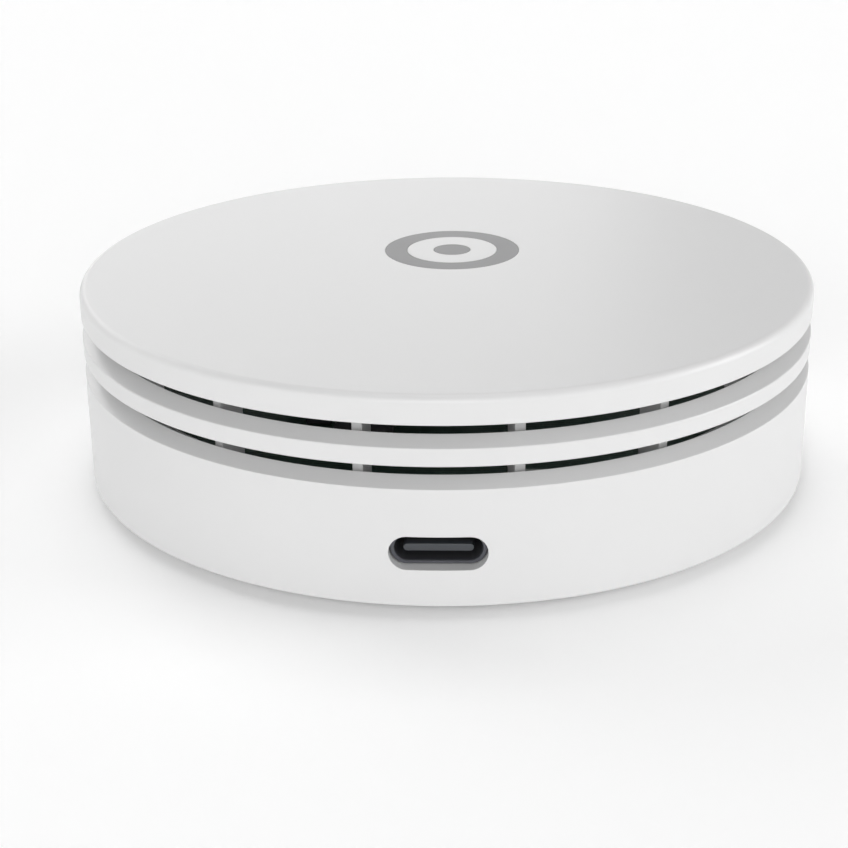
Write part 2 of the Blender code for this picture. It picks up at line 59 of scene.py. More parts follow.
slot_of = {part["node"]: part["material_slot"] for part in frame["record"]["subparts"]}

# %% [markdown]
# ## Camera
#
# A product view uses a longer lens from close by, a little above the object. The socket faces
# the camera almost squarely. The camera stands at a distance from the hub's axis and a height
# over the table, turned a little over a degree round the hub. It aims at a point low in the
# housing, so there is open space above the hub. A small roll of the camera makes up for a table
# that isn't quite level.

# %% Camera
CAMERA_TURN = radians(1.207)
CAMERA_FROM_AXIS = 193.28 * MM
CAMERA_HEIGHT = 81.85 * MM
CAMERA_AIM = Vector((-2.58, -0.09, 3.68)) * MM
CAMERA_ROLL = radians(-0.594)
CAMERA_LENS, CAMERA_SENSOR = 77.31, 36.0

camera = bpy.data.objects.new("camera", bpy.data.cameras.new("camera"))
bpy.context.scene.collection.objects.link(camera)
bpy.context.scene.camera = camera
camera.data.sensor_width = CAMERA_SENSOR
camera.data.lens = CAMERA_LENS
camera.data.clip_start = 5 * MM
camera.location = (CAMERA_FROM_AXIS * sin(CAMERA_TURN), -CAMERA_FROM_AXIS * cos(CAMERA_TURN),
                   CAMERA_HEIGHT)
look = (CAMERA_AIM - camera.location).to_track_quat("-Z", "Y").to_matrix()
camera.rotation_euler = (look @ Matrix.Rotation(CAMERA_ROLL, 3, "Z")).to_euler()
print("camera looks down by", round(degrees(pi / 2 - camera.rotation_euler.x), 1), "degrees")

# %% [markdown]
# ## One helper for colours and one for nodes
#
# Colours are written as sRGB hex values, as a paint or plastic supplier gives them. Shaders
# work in linear light, so one function converts them. Every material below is a small tree of
# nodes, and one function adds a node with its settings, its values and its links.

# %% Colour and node helpers
def linear(hex_colour):
    """The linear colour of an sRGB hex value such as #E6E6E6."""
    channels = [int(hex_colour[i:i + 2], 16) / 255 for i in (1, 3, 5)]
    return [c / 12.92 if c <= 0.04045 else ((c + 0.055) / 1.055) ** 2.4 for c in channels] + [1.0]


def add_node(tree, kind, settings=None, values=None, links=None):
    """A new node of a kind, with its settings, socket values and incoming links."""
    node = tree.nodes.new(kind)
    for name, value in (settings or {}).items():
        setattr(node, name, value)
    for socket, value in (values or {}).items():
        node.inputs[socket].default_value = value
    for socket, source in (links or {}).items():
        tree.links.new(source, node.inputs[socket])
    return node


print("#D5D5D5 in linear light:", [round(c, 3) for c in linear("#D5D5D5")])

# %% [markdown]
# ## Studio
#
# The hub stands on a round white sweep: a wide flat sheet whose rim rises like a dish, so every
# view ends on white. The sheet is translucent acrylic, lit a little from below, which keeps the
# shadow light. A weak even light comes from all round. Soft boxes do the rest. Four stand low
# in front and at the right, so that they reach into the grooves and make the wall a little
# brighter on the right. One almost straight above throws the soft shadow in front of the hub.
# Two behind lighten the far side of the cover by their reflection.

# %% World and sweep
scene = bpy.context.scene
scene.view_settings.view_transform = "Standard"
SURROUND_LIGHT = 0.21
SHEET_GLOW = 0.08
SHEET_RADIUS, SHEET_CURVE, SHEET_RIM = 3.0, 0.6, 1.8       # in metres
SHEET_SIDES = 96

scene.world = bpy.data.worlds.new("white_studio")
scene.world.use_nodes = True
scene.world.node_tree.nodes["Background"].inputs["Color"].default_value = linear("#FFFFFF")
scene.world.node_tree.nodes["Background"].inputs["Strength"].default_value = SURROUND_LIGHT


def translucent_acrylic():
    """The sheet: pale, matt, glowing a little, with a trace of unevenness."""
    material = bpy.data.materials.new("opal_acrylic_sheet")
    material.use_nodes = True
    tree = material.node_tree
    shader = tree.nodes["Principled BSDF"]
    cloud = add_node(tree, "ShaderNodeTexNoise", values={"Scale": 3.0, "Detail": 1.0},
                     links={"Vector": add_node(tree, "ShaderNodeTexCoord").outputs["Object"]})
    tone = add_node(tree, "ShaderNodeMix", {"data_type": "RGBA"},
                    {"A": linear("#FCFCFC"), "B": linear("#FFFFFF")},
                    {"Factor": cloud.outputs["Fac"]})
    tree.links.new(tone.outputs["Result"], shader.inputs["Base Color"])
    shader.inputs["Roughness"].default_value = 0.9
    shader.inputs["Specular IOR Level"].default_value = 0.0
    shader.inputs["Emission Color"].default_value = linear("#FFFFFF")
    shader.inputs["Emission Strength"].default_value = SHEET_GLOW
    return material


def arc(centre, radius, start, end, steps):
    """Points on an arc from one angle in degrees to another."""
    angles = [radians(start + (end - start) * i / steps) for i in range(steps + 1)]
    return [(centre[0] + radius * cos(a), centre[1] + radius * sin(a)) for a in angles]


bm = bmesh.new()
outline = [(0.0, 0.0)] + arc((SHEET_RADIUS, SHEET_CURVE), SHEET_CURVE, -90, 0, 8)
outline.append((SHEET_RADIUS + SHEET_CURVE, SHEET_RIM))
corners = [bm.verts.new((r, 0, z)) for r, z in outline]
edges = [bm.edges.new(pair) for pair in zip(corners, corners[1:])]
bmesh.ops.spin(bm, geom=corners + edges, cent=(0, 0, 0), axis=(0, 0, 1), angle=2 * pi,
               steps=SHEET_SIDES, use_merge=True)
bmesh.ops.remove_doubles(bm, verts=bm.verts, dist=0.1 * MM)
sweep_mesh = bpy.data.meshes.new("sweep")
bm.to_mesh(sweep_mesh)
bm.free()
sweep_mesh.materials.append(translucent_acrylic())
sweep_mesh.shade_smooth()
sweep = bpy.data.objects.new("sweep", sweep_mesh)
scene.collection.objects.link(sweep)
print("sweep:", len(sweep_mesh.polygons), "faces")

# %% Soft boxes
BOX_SIZE, BOX_DISTANCE = 1.5, 2.5       # in metres


def add_soft_box(name, watts, turn, climb):
    """A square soft box, turned from the front to the right and raised, both in degrees."""
    turn, climb = radians(turn), radians(climb)
    where = Vector((sin(turn) * cos(climb), -cos(turn) * cos(climb), sin(climb)))
    light = bpy.data.lights.new(name, "AREA")
    light.shape = "SQUARE"
    light.size = BOX_SIZE
    light.energy = watts
    box = bpy.data.objects.new(name, light)
    box.location = where * BOX_DISTANCE
    box.rotation_euler = (-where).to_track_quat("-Z", "Y").to_euler()
    box.visible_camera = False
    scene.collection.objects.link(box)


add_soft_box("box_front", 21.0, 0, 21)
add_soft_box("box_front_left", 11.0, -45, 14)
add_soft_box("box_front_right", 5.0, 45, 20)
add_soft_box("box_right", 24.0, 90, 16)
add_soft_box("box_above", 13.5, 180, 70)
add_soft_box("box_behind_left", 14.0, -138, 36)
add_soft_box("box_behind", 7.0, -168, 12)

# %% [markdown]
# ## Finish: moulded ABS
#
# The cover, the ring, the housing, the base and the button are injection moulded in white ABS.
# The mould is spark eroded, which leaves a fine even grain about 0.1 mm across and a few
# thousandths of a millimetre deep, so the plastic looks silky and never mirror-like. ABS has an
# index of refraction of 1.54. The grain is too fine to show as it is, so it is drawn as 0.2 mm
# noise in the bump, and a wide, very weak noise in the colour and the roughness keeps a large
# plain surface from looking computed.

# %% ABS
def start_material(name, colour, roughness, ior=1.5, metallic=0.0):
    """A material on a Principled shader, with its tree and shader at hand."""
    material = bpy.data.materials.new(name)
    material.use_nodes = True
    shader = material.node_tree.nodes["Principled BSDF"]
    shader.inputs["Base Color"].default_value = linear(colour)
    shader.inputs["Roughness"].default_value = roughness
    shader.inputs["IOR"].default_value = ior
    shader.inputs["Metallic"].default_value = metallic
    return material, material.node_tree, shader


def add_grain(tree, shader, spacing, depth, strength):
    """Bump of noise whose grains are a spacing apart and a depth high, in mm."""
    place = add_node(tree, "ShaderNodeTexCoord")
    grain = add_node(tree, "ShaderNodeTexNoise", values={"Scale": 1 / (spacing * MM), "Detail": 2.0},
                     links={"Vector": place.outputs["Object"]})
    bump = add_node(tree, "ShaderNodeBump", values={"Strength": strength, "Distance": depth * MM},
                    links={"Height": grain.outputs["Fac"]})
    tree.links.new(bump.outputs["Normal"], shader.inputs["Normal"])
    return place.outputs["Object"]


def add_drift(tree, shader, where, spacing, dark, pale, low, high):
    """Colour and roughness that wander a little over a spacing in mm."""
    wander = add_node(tree, "ShaderNodeTexNoise", values={"Scale": 1 / (spacing * MM), "Detail": 3.0},
                      links={"Vector": where})
    tone = add_node(tree, "ShaderNodeMix", {"data_type": "RGBA"},
                    {"A": linear(dark), "B": linear(pale)}, {"Factor": wander.outputs["Fac"]})
    sheen = add_node(tree, "ShaderNodeMapRange", values={"To Min": low, "To Max": high},
                     links={"Value": wander.outputs["Fac"]})
    tree.links.new(tone.outputs["Result"], shader.inputs["Base Color"])
    tree.links.new(sheen.outputs["Result"], shader.inputs["Roughness"])


def moulded_abs():
    material, tree, shader = start_material("moulded_abs_white", "#D5D5D5", 0.34, ior=1.54)
    where = add_grain(tree, shader, spacing=0.2, depth=0.004, strength=0.25)
    add_drift(tree, shader, where, spacing=14, dark="#D4D4D4", pale="#D6D6D6", low=0.32, high=0.36)
    return material


finishes = {"white_abs": moulded_abs()}
print("finishes so far:", list(finishes))

# %% [markdown]
# ## Finishes outside: mark, rubber, label
#
# The mark is a mid grey plastic inlay with a satin face. The feet are moulded from dark grey
# rubber, which is matt and slightly powdery. The label is blank laminated paper.

# %% Mark, rubber and label
def satin_inlay():
    material, tree, shader = start_material("satin_grey_inlay", "#696969", 0.35, ior=1.5)
    where = add_grain(tree, shader, spacing=0.15, depth=0.003, strength=0.2)
    add_drift(tree, shader, where, spacing=5, dark="#666667", pale="#6C6C6D", low=0.30, high=0.38)
    return material


def moulded_rubber():
    material, tree, shader = start_material("moulded_rubber_grey", "#4A4A4B", 0.85, ior=1.52)
    where = add_grain(tree, shader, spacing=0.3, depth=0.02, strength=0.4)
    add_drift(tree, shader, where, spacing=2, dark="#444445", pale="#525253", low=0.78, high=0.92)
    return material


def laminated_paper():
    material, tree, shader = start_material("laminated_paper", "#D8D8D4", 0.45, ior=1.5)
    where = add_grain(tree, shader, spacing=0.4, depth=0.004, strength=0.2)
    add_drift(tree, shader, where, spacing=6, dark="#D4D4D0", pale="#DDDDDA", low=0.40, high=0.52)
    return material


finishes["grey_inlay"] = satin_inlay()
finishes["foot_rubber"] = moulded_rubber()
finishes["label_paper"] = laminated_paper()
print("finishes so far:", list(finishes))

# %% [markdown]
# ## Finishes of metal
#
# The socket's shell is drawn from thin steel and plated in dark nickel. The cans over the radio
# parts are folded tin plate, the screws are zinc plated, the antennas are plated brass and the
# heat sink is black anodised aluminium. Rolled and drawn sheet has fine lines along one way, so
# its noise is stretched with a Mapping node. The anodised one is matt and has no lines. The
# dark nickel is a thin, half oxidised coat, so it is not quite as metallic as bare metal.

# %% Metals
def rolled_metal(name, colour, dark, pale, roughness, metallic=1.0, line=0.05, run=3.0):
    """Sheet with rolling lines: a line wide and a run long, in mm, along X."""
    material, tree, shader = start_material(name, colour, roughness, metallic=metallic)
    place = add_node(tree, "ShaderNodeTexCoord")
    stretch = add_node(tree, "ShaderNodeMapping",
                       values={"Scale": (1 / (run * MM), 1 / (line * MM), 1 / (line * MM))},
                       links={"Vector": place.outputs["Object"]})
    lines = add_node(tree, "ShaderNodeTexNoise", values={"Scale": 1.0, "Detail": 3.0},
                     links={"Vector": stretch.outputs["Vector"]})
    tone = add_node(tree, "ShaderNodeMix", {"data_type": "RGBA"},
                    {"A": linear(dark), "B": linear(pale)}, {"Factor": lines.outputs["Fac"]})
    dull = add_node(tree, "ShaderNodeMapRange",
                    values={"To Min": roughness - 0.08, "To Max": roughness + 0.10},
                    links={"Value": lines.outputs["Fac"]})
    tree.links.new(tone.outputs["Result"], shader.inputs["Base Color"])
    tree.links.new(dull.outputs["Result"], shader.inputs["Roughness"])
    return material


def anodised_aluminium():
    material, tree, shader = start_material("anodised_aluminium_black", "#1C1C1E", 0.5, metallic=1.0)
    where = add_grain(tree, shader, spacing=0.1, depth=0.004, strength=0.3)
    add_drift(tree, shader, where, spacing=3, dark="#17171A", pale="#202023", low=0.42, high=0.58)
    return material


finishes["dark_nickel"] = rolled_metal("dark_nickel_plate", "#5F6065", "#57585D", "#67686E", 0.46,
                                       metallic=0.7)
finishes["tin_plate"] = rolled_metal("tin_plate_sheet", "#B4B5B7", "#A8A9AB", "#BEBFC1", 0.36)
finishes["zinc_steel"] = rolled_metal("zinc_plated_steel", "#A9ACB1", "#9A9DA3", "#B5B8BC", 0.32)
finishes["antenna_brass"] = rolled_metal("plated_brass", "#C9A45A", "#BC964B", "#D4B06A", 0.30)
finishes["black_anodised"] = anodised_aluminium()
print("finishes so far:", list(finishes))

# %% [markdown]
# ## Finishes of the electronics
#
# The boards wear dark green solder mask over copper tracks. The tracks are drawn as a brick
# pattern: long thin bricks are the runs, and the mask is a little paler over them because it
# lies over copper. Chips are moulded in black epoxy with a fine sand-like grain. Ferrite is a
# dark grey ceramic, the thermal pad soft silicone, and the light's lens milky acrylic. The
# socket's tongue is moulded in a dark grey plastic of its own.

# %% Board, epoxy, ferrite, silicone and lens
def solder_mask():
    material, tree, shader = start_material("solder_mask_green", "#41574B", 0.42, ior=1.55)
    place = add_node(tree, "ShaderNodeTexCoord")
    tracks = add_node(tree, "ShaderNodeTexBrick",
                      {"offset": 0.37, "squash": 1.0},
                      {"Color1": linear("#3D5247"), "Color2": linear("#455C50"),
                       "Mortar": linear("#526B5E"), "Scale": 1.0, "Mortar Size": 0.09 * MM,
                       "Mortar Smooth": 0.2, "Brick Width": 6.4 * MM, "Row Height": 0.55 * MM},
                      {"Vector": place.outputs["Object"]})
    bump = add_node(tree, "ShaderNodeBump", values={"Strength": 0.3, "Distance": 0.035 * MM},
                    links={"Height": tracks.outputs["Fac"]})
    tree.links.new(tracks.outputs["Color"], shader.inputs["Base Color"])
    tree.links.new(bump.outputs["Normal"], shader.inputs["Normal"])
    return material


def plain_grained(name, colour, dark, pale, roughness, spacing, depth):
    """A moulded or fired material with a grain and a slight drift of tone."""
    material, tree, shader = start_material(name, colour, roughness)
    where = add_grain(tree, shader, spacing=spacing, depth=depth, strength=0.3)
    add_drift(tree, shader, where, 3, dark, pale, roughness - 0.06, roughness + 0.08)
    return material


finishes["board_green"] = solder_mask()
finishes["black_plastic"] = plain_grained("moulded_black_lcp", "#26272A", "#232427", "#2B2C2F",
                                          0.48, 0.12, 0.006)
socket_plastic = plain_grained("moulded_grey_lcp", "#3C3F43", "#393C40", "#404347", 0.45, 0.12, 0.006)
finishes["ferrite"] = plain_grained("fired_ferrite", "#2E2E30", "#29292B", "#343436",
                                    0.62, 0.2, 0.01)
finishes["pad_silicone"] = plain_grained("silicone_pad_blue", "#7F93B5", "#788CAF", "#889CBC",
                                         0.7, 0.3, 0.01)
finishes["led_lens"] = plain_grained("acrylic_lens_milky", "#DDE2DD", "#D8DDD8", "#E3E8E3",
                                     0.2, 0.5, 0.002)
print("finishes:", len(finishes))

# %% [markdown]
# ## Helpers for turned and lofted pieces
#
# Most of the hub is turned: an outline of radius and height, spun once round the axis. The
# outlines use arcs for every rounded edge. Slots are cut and bosses joined with an exact
# Boolean, whose result becomes the mesh, and then the tool is thrown away. After that, edges
# that turn more than a chosen angle are marked sharp, and weighted normals keep the wide faces
# calm beside narrow fillets.

# %% Shape helpers
FINE_SIDES, ROUND_SIDES, SMALL_SIDES = 240, 64, 48


def add_turned(bm, outline, sides=FINE_SIDES, centre=(0.0, 0.0)):
    """Spin an outline of (radius, height) in mm once round a vertical axis."""
    x, y = centre
    corners = [bm.verts.new(Vector((x + r, y, z)) * MM) for r, z in outline]
    edges = []
    for i, corner in enumerate(corners):
        following = (i + 1) % len(corners)
        if outline[i][0] > 0 or outline[following][0] > 0:
            edges.append(bm.edges.new((corner, corners[following])))
    bmesh.ops.spin(bm, geom=corners + edges, cent=(x * MM, y * MM, 0), axis=(0, 0, 1),
                   angle=2 * pi, steps=sides, use_merge=True)


def add_rod(bm, radius, bottom, top, centre, sides=SMALL_SIDES):
    """A round rod that stands upright, in mm."""
    add_turned(bm, [(0, bottom), (radius, bottom), (radius, top), (0, top)], sides, centre)


def add_box(bm, middle, size, turn=0.0):
    """A box round a middle, in mm, turned round the hub's axis."""
    place = Matrix.Rotation(turn, 4, "Z") @ Matrix.Translation(Vector(middle) * MM)
    bmesh.ops.create_cube(bm, size=1.0, matrix=place @ Matrix.Diagonal((*(Vector(size) * MM), 1.0)))


def add_loft(bm, rings):
    """Bridge closed rings of points in mm, one after another, and cap both ends."""
    loops = []
    for ring in rings:
        corners = [bm.verts.new(Vector(point) * MM) for point in ring]
        loops.append([bm.edges.new(pair) for pair in zip(corners, corners[1:] + corners[:1])])
    for one, following in zip(loops, loops[1:]):
        bmesh.ops.bridge_loops(bm, edges=one + following)
    bmesh.ops.edgeloop_fill(bm, edges=loops[0])
    bmesh.ops.edgeloop_fill(bm, edges=loops[-1])


def to_object(name, bm):
    """Merge doubles, turn the faces outwards and make the mesh an object."""
    bmesh.ops.remove_doubles(bm, verts=bm.verts, dist=0.0005 * MM)
    bmesh.ops.recalc_face_normals(bm, faces=bm.faces)
    mesh = bpy.data.meshes.new(name)
    bm.to_mesh(mesh)
    bm.free()
    piece = bpy.data.objects.new(name, mesh)
    scene.collection.objects.link(piece)
    return piece


def combine(piece, bm, operation):
    """Cut a piece with a tool, or join the tool to it, and drop the tool."""
    tool = to_object("tool", bm)
    step = piece.modifiers.new("combine", "BOOLEAN")
    step.operation = operation
    step.solver = "EXACT"
    step.object = tool
    evaluated = piece.evaluated_get(bpy.context.evaluated_depsgraph_get())
    old_mesh = piece.data
    new_mesh = bpy.data.meshes.new_from_object(evaluated)
    piece.modifiers.clear()
    piece.data = new_mesh
    new_mesh.name = piece.name
    bpy.data.meshes.remove(old_mesh)
    bpy.data.objects.remove(tool)


def dress(piece, node, body="hub", finish=None, sharp=35.0):
    """Shade a piece, give it its slot's finish or another, and put it in a CAD node's place."""
    mesh = piece.data
    mesh.materials.clear()
    mesh.materials.append(finish or finishes[slot_of[node]])
    mesh.shade_smooth()
    mesh.set_sharp_from_angle(angle=radians(sharp))
    calm = piece.modifiers.new("calm_normals", "WEIGHTED_NORMAL")
    calm.keep_sharp = True
    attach(piece, body)
    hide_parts(node)
    print(piece.name, "-", len(mesh.polygons), "faces")


print("sides of a turned piece, from the hub's down:", FINE_SIDES, ROUND_SIDES, SMALL_SIDES)

# %% [markdown]
# ## Levels and radii
#
# The three tiers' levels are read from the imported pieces. A few numbers inside them repeat the
# hub's design. The floor of a groove rises inwards to a lip, and falls steeply behind it. The
# ribs stand further in, and hoops tie their heads and feet. The housing's ledge, just above the
# board, carries the lower hoop.

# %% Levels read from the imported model
def span(node, axis=2):
    """Lowest and highest value of a CAD node along an axis, in mm."""
    low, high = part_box(node)
    return low[axis] / MM, high[axis] / MM


radius = span("lower_housing", axis=0)[1]
WALL = 2.0
GROOVE, BAND = 2.26, 1.84
LIP_RADIUS, LIP_RISE = 38.05, 0.72
LIP_BACK, LIP_BACK_DROP = 37.6, 0.36
RIB_BACK, RIB_FRONT = 33.7, 36.8
RIM_INNER = RIB_FRONT + 0.15
HOOP_INNER = 35.2
housing_bottom, housing_lip = span("lower_housing")
housing_top = housing_lip - LIP_RISE
cover_top = span("top_cover")[1]
board_bottom, board_top = span("main_board")
base_bottom = span("base_plate")[0]
shell_bottom, shell_top = span("usb_shell")
port_level = (shell_bottom + shell_top) / 2
band_bottom = housing_top + GROOVE
band_top = band_bottom + BAND
rim_bottom = band_top + GROOVE
ceiling = cover_top - WALL
ledge_bottom = board_top + 0.3
feet_circle = sum(span("rubber_foot_1", axis=0)) / 2
print("tiers in mm:", [round(z, 2) for z in (housing_bottom, housing_top, band_bottom, band_top,
                                             rim_bottom, cover_top)])

# %% [markdown]
# ## Cover
#
# The lid's upper edge has a soft 0.8 mm round that catches the light as a thin bright line, and
# a small break below. Under it are a guide wall that centres the vent ring and three screw
# bosses. Lid and guide wall are one turned outline. The bosses are joined, and their holes and
# the pocket of the mark are cut afterwards.

# %% Cover
SCREW_SPOTS = [(feet_circle * cos(radians(a)), feet_circle * sin(radians(a))) for a in (0, 90, 180)]
BOSS_RADIUS, SCREW_HOLE = 3.0, 1.5
GUIDE_OUTER, GUIDE_INNER = RIB_BACK - 0.3, RIB_BACK - 1.8
MARK_CENTRE = (0.6, 6.4)
MARK_OUTER, MARK_INNER, MARK_DOT = 7.6, 5.1, 2.1
MARK_SEAM, MARK_POCKET = 0.03, 0.5
MARK_SIDES = 128
EDGE_ROUND, EDGE_BREAK = 0.8, 0.12

outline = [(0, cover_top)]
outline += arc((radius - EDGE_ROUND, cover_top - EDGE_ROUND), EDGE_ROUND, 90, 0, 10)
outline += arc((radius - EDGE_BREAK, rim_bottom + EDGE_BREAK), EDGE_BREAK, 0, -90, 3)
guide_bottom = rim_bottom - 0.4
outline += [(RIM_INNER, rim_bottom), (RIM_INNER, ceiling), (GUIDE_OUTER, ceiling),
            (GUIDE_OUTER, guide_bottom), (GUIDE_INNER, guide_bottom),
            (GUIDE_INNER, ceiling), (0, ceiling)]
bm = bmesh.new()
add_turned(bm, outline)
cover = to_object("cover_shell", bm)

bm = bmesh.new()
for spot in SCREW_SPOTS:
    add_rod(bm, BOSS_RADIUS, ledge_bottom, ceiling + 1, spot)
combine(cover, bm, "UNION")

bm = bmesh.new()
for spot in SCREW_SPOTS:
    add_rod(bm, SCREW_HOLE, board_top, ceiling - 2.7, spot)
combine(cover, bm, "DIFFERENCE")

pocket_floor = cover_top - MARK_POCKET
bm = bmesh.new()
add_turned(bm, [(MARK_INNER - MARK_SEAM, pocket_floor), (MARK_OUTER + MARK_SEAM, pocket_floor),
                (MARK_OUTER + MARK_SEAM, cover_top + 1), (MARK_INNER - MARK_SEAM, cover_top + 1)],
           MARK_SIDES, MARK_CENTRE)
add_rod(bm, MARK_DOT + MARK_SEAM, pocket_floor, cover_top + 1, MARK_CENTRE, ROUND_SIDES)
combine(cover, bm, "DIFFERENCE")
dress(cover, "top_cover")

# %% [markdown]
# ## Mark
#
# The mark is a plain ring round a dot, inlaid flush with the cover. Both are turned, with edges
# broken by two hundredths of a millimetre so that the seam shows softly.

# %% Mark
MARK_BREAK = 0.02
mark_bottom, mark_top = span("badge_ring")
bm = bmesh.new()
add_turned(bm, [(MARK_INNER, mark_bottom), (MARK_OUTER, mark_bottom),
                (MARK_OUTER, mark_top - MARK_BREAK), (MARK_OUTER - MARK_BREAK, mark_top),
                (MARK_INNER + MARK_BREAK, mark_top), (MARK_INNER, mark_top - MARK_BREAK)],
           MARK_SIDES, MARK_CENTRE)
dress(to_object("mark_ring", bm), "badge_ring")

bm = bmesh.new()
add_turned(bm, [(0, mark_bottom), (MARK_DOT, mark_bottom), (MARK_DOT, mark_top - MARK_BREAK),
                (MARK_DOT - MARK_BREAK, mark_top), (0, mark_top)], ROUND_SIDES, MARK_CENTRE)
dress(to_object("mark_dot", bm), "badge_dot")

# %% [markdown]
# ## Vent ring
#
# The band floats between the grooves. Its top is the floor of the upper one, and like the
# housing's top it rises inwards by twenty degrees, as a louvre does. Fifteen ribs carry the
# band by a thinner web behind its lip. They show their narrow faces in both grooves, and the
# socket faces the middle between two of them. The ribs are bevelled boxes, turned round the
# axis by equal steps, and joined with the band and two hoops into one moulding.

# %% Vent ring
RIB_COUNT = 15
RIB_WIDTH, RIB_ROUND = 1.05, 0.1
BAND_INNER, BAND_WEB = 36.3, 0.9
BAND_ROUND, LIP_ROUND = 0.18, 0.06
HOOP_HEIGHT, HOOP_SETBACK = 0.55, 0.05
hoop_bottom, rib_top = span("vent_ring")


def groove_floor(level, edge):
    """A groove's floor from the skin inwards: rounded edge, cone, rounded lip, back face."""
    slope = atan2(LIP_RISE, radius - LIP_RADIUS)
    middle = (radius - edge, level + edge * tan(slope) - edge / cos(slope))
    floor = arc(middle, edge, 0, 90 - degrees(slope), 5)
    floor += arc((LIP_RADIUS, level + LIP_RISE - LIP_ROUND), LIP_ROUND, 90 - degrees(slope), 130, 4)
    return floor + [(LIP_BACK, level + LIP_RISE - LIP_BACK_DROP)]


def round_upright(bm, radius, segments):
    """Round the upright edges of the boxes in a mesh by a radius in mm."""
    upright = [e for e in bm.edges if abs(e.verts[0].co.z - e.verts[1].co.z) > MM]
    bmesh.ops.bevel(bm, geom=upright, offset=radius * MM, segments=segments, affect="EDGES",
                    profile=0.5, material=-1)


outline = [(BAND_INNER, band_bottom)]
outline += arc((radius - BAND_ROUND, band_bottom + BAND_ROUND), BAND_ROUND, -90, 0, 5)
outline += groove_floor(band_top, BAND_ROUND)
outline += [(LIP_BACK, band_bottom + BAND_WEB), (BAND_INNER, band_bottom + BAND_WEB)]
bm = bmesh.new()
add_turned(bm, outline)
vent_ring = to_object("ring_and_ribs", bm)

bm = bmesh.new()
rib_middle = (0, -(RIB_FRONT + RIB_BACK) / 2, (rib_top + hoop_bottom) / 2)
rib_size = (RIB_WIDTH, RIB_FRONT - RIB_BACK, rib_top - hoop_bottom)
for i in range(RIB_COUNT):
    add_box(bm, rib_middle, rib_size, turn=2 * pi * (i + 0.5) / RIB_COUNT)
round_upright(bm, RIB_ROUND, segments=3)
combine(vent_ring, bm, "UNION")

bm = bmesh.new()
for bottom in (hoop_bottom + HOOP_SETBACK, rib_top - HOOP_SETBACK - HOOP_HEIGHT):
    top = bottom + HOOP_HEIGHT
    add_turned(bm, [(HOOP_INNER, bottom), (RIB_FRONT - RIB_ROUND, bottom),
                    (RIB_FRONT - RIB_ROUND, top), (HOOP_INNER, top)])
combine(vent_ring, bm, "UNION")
dress(vent_ring, "vent_ring")

# %% [markdown]
# ## Lower housing
#
# The housing is a turned wall. Its top is the floor of the lower groove, and a ledge inside it
# carries the vent ring. The socket's slot goes through the curved wall, and its mouth is
# rounded. A plain Boolean would leave a knife edge, so the cutting tool itself is lofted: its
# rings follow the cylinder and shrink along a quarter circle, which leaves an even round of
# 0.06 mm all the way round the mouth.

# %% Lower housing
PORT_WIDTH, PORT_HEIGHT = 9.42, 3.42
PORT_ROUND, ROUND_STEPS = 0.06, 4
HOUSING_ROUND = 0.1
LEDGE = 0.8


def slot_ring(width, height, y_of_x, end_steps=14, side_steps=10):
    """A slot round the socket's middle as a closed ring of points, with y as a function of x."""
    end = height / 2
    reach = width / 2 - end
    flat = arc((reach, 0), end, -90, 90, end_steps)
    flat += [(reach - 2 * reach * i / side_steps, end) for i in range(1, side_steps)]
    flat += arc((-reach, 0), end, 90, 270, end_steps)
    flat += [(-reach + 2 * reach * i / side_steps, -end) for i in range(1, side_steps)]
    return [(x, y_of_x(x), z + port_level) for x, z in flat]


def upright_ring(width, height, y, end_steps=14, side_steps=10):
    """The same slot in an upright plane at y."""
    return slot_ring(width, height, lambda x: y, end_steps, side_steps)


def skin(depth):
    """The housing's outer surface as y(x), moved inwards by a depth."""
    return lambda x: -sqrt(radius ** 2 - x ** 2) + depth


outline = arc((radius - HOUSING_ROUND, housing_bottom + HOUSING_ROUND), HOUSING_ROUND, -90, 0, 5)
outline += groove_floor(housing_top, EDGE_BREAK)
outline += [(LIP_BACK, ledge_bottom + LEDGE), (HOOP_INNER, ledge_bottom + LEDGE),
            (HOOP_INNER, ledge_bottom), (radius - WALL, ledge_bottom),
            (radius - WALL, housing_bottom)]
bm = bmesh.new()
add_turned(bm, outline)
housing = to_object("housing_shell", bm)

rings = [upright_ring(PORT_WIDTH + 2 * PORT_ROUND, PORT_HEIGHT + 2 * PORT_ROUND, -(radius + 1))]
for i in range(ROUND_STEPS + 1):
    turn = i / ROUND_STEPS * pi / 2
    grow = 2 * PORT_ROUND * (1 - sin(turn))
    depth = PORT_ROUND * (1 - cos(turn))
    rings.append(slot_ring(PORT_WIDTH + grow, PORT_HEIGHT + grow, skin(depth)))
rings.append(upright_ring(PORT_WIDTH, PORT_HEIGHT, -(radius - WALL - 1)))
bm = bmesh.new()
add_loft(bm, rings)
combine(housing, bm, "DIFFERENCE")
dress(housing, "lower_housing")

# %% [markdown]
# ## Socket
#
# The receptacle is a drawn metal shell whose mouth is flared a little, to fill the slot and
# lead the plug in. Inside stands a thin plastic tongue on a block, with twelve contacts on each
# face. Shell, block and tongue are lofted from slot-shaped rings. The shell's rings run from
# its back to the mouth outside, where the flare starts half a millimetre early, and back again
# inside, where a small lead-in breaks the edge. The contacts are small gold pads that a loop
# places half a millimetre apart.

# %% Socket shell
SHELL_WALL = 0.3
LEAD_IN = 0.08
FLARE_WIDE, FLARE_HIGH = 0.13, 0.07
mouth, shell_back = span("usb_shell", axis=1)
shell_width = span("usb_shell", axis=0)[1] * 2
shell_height = shell_top - shell_bottom


def shell_ring(y, inset=0.0, flare=0):
    """The shell's outline at y, moved inwards by an inset, and flared or not."""
    return upright_ring(shell_width + 2 * (flare * FLARE_WIDE - inset),
                        shell_height + 2 * (flare * FLARE_HIGH - inset), y)


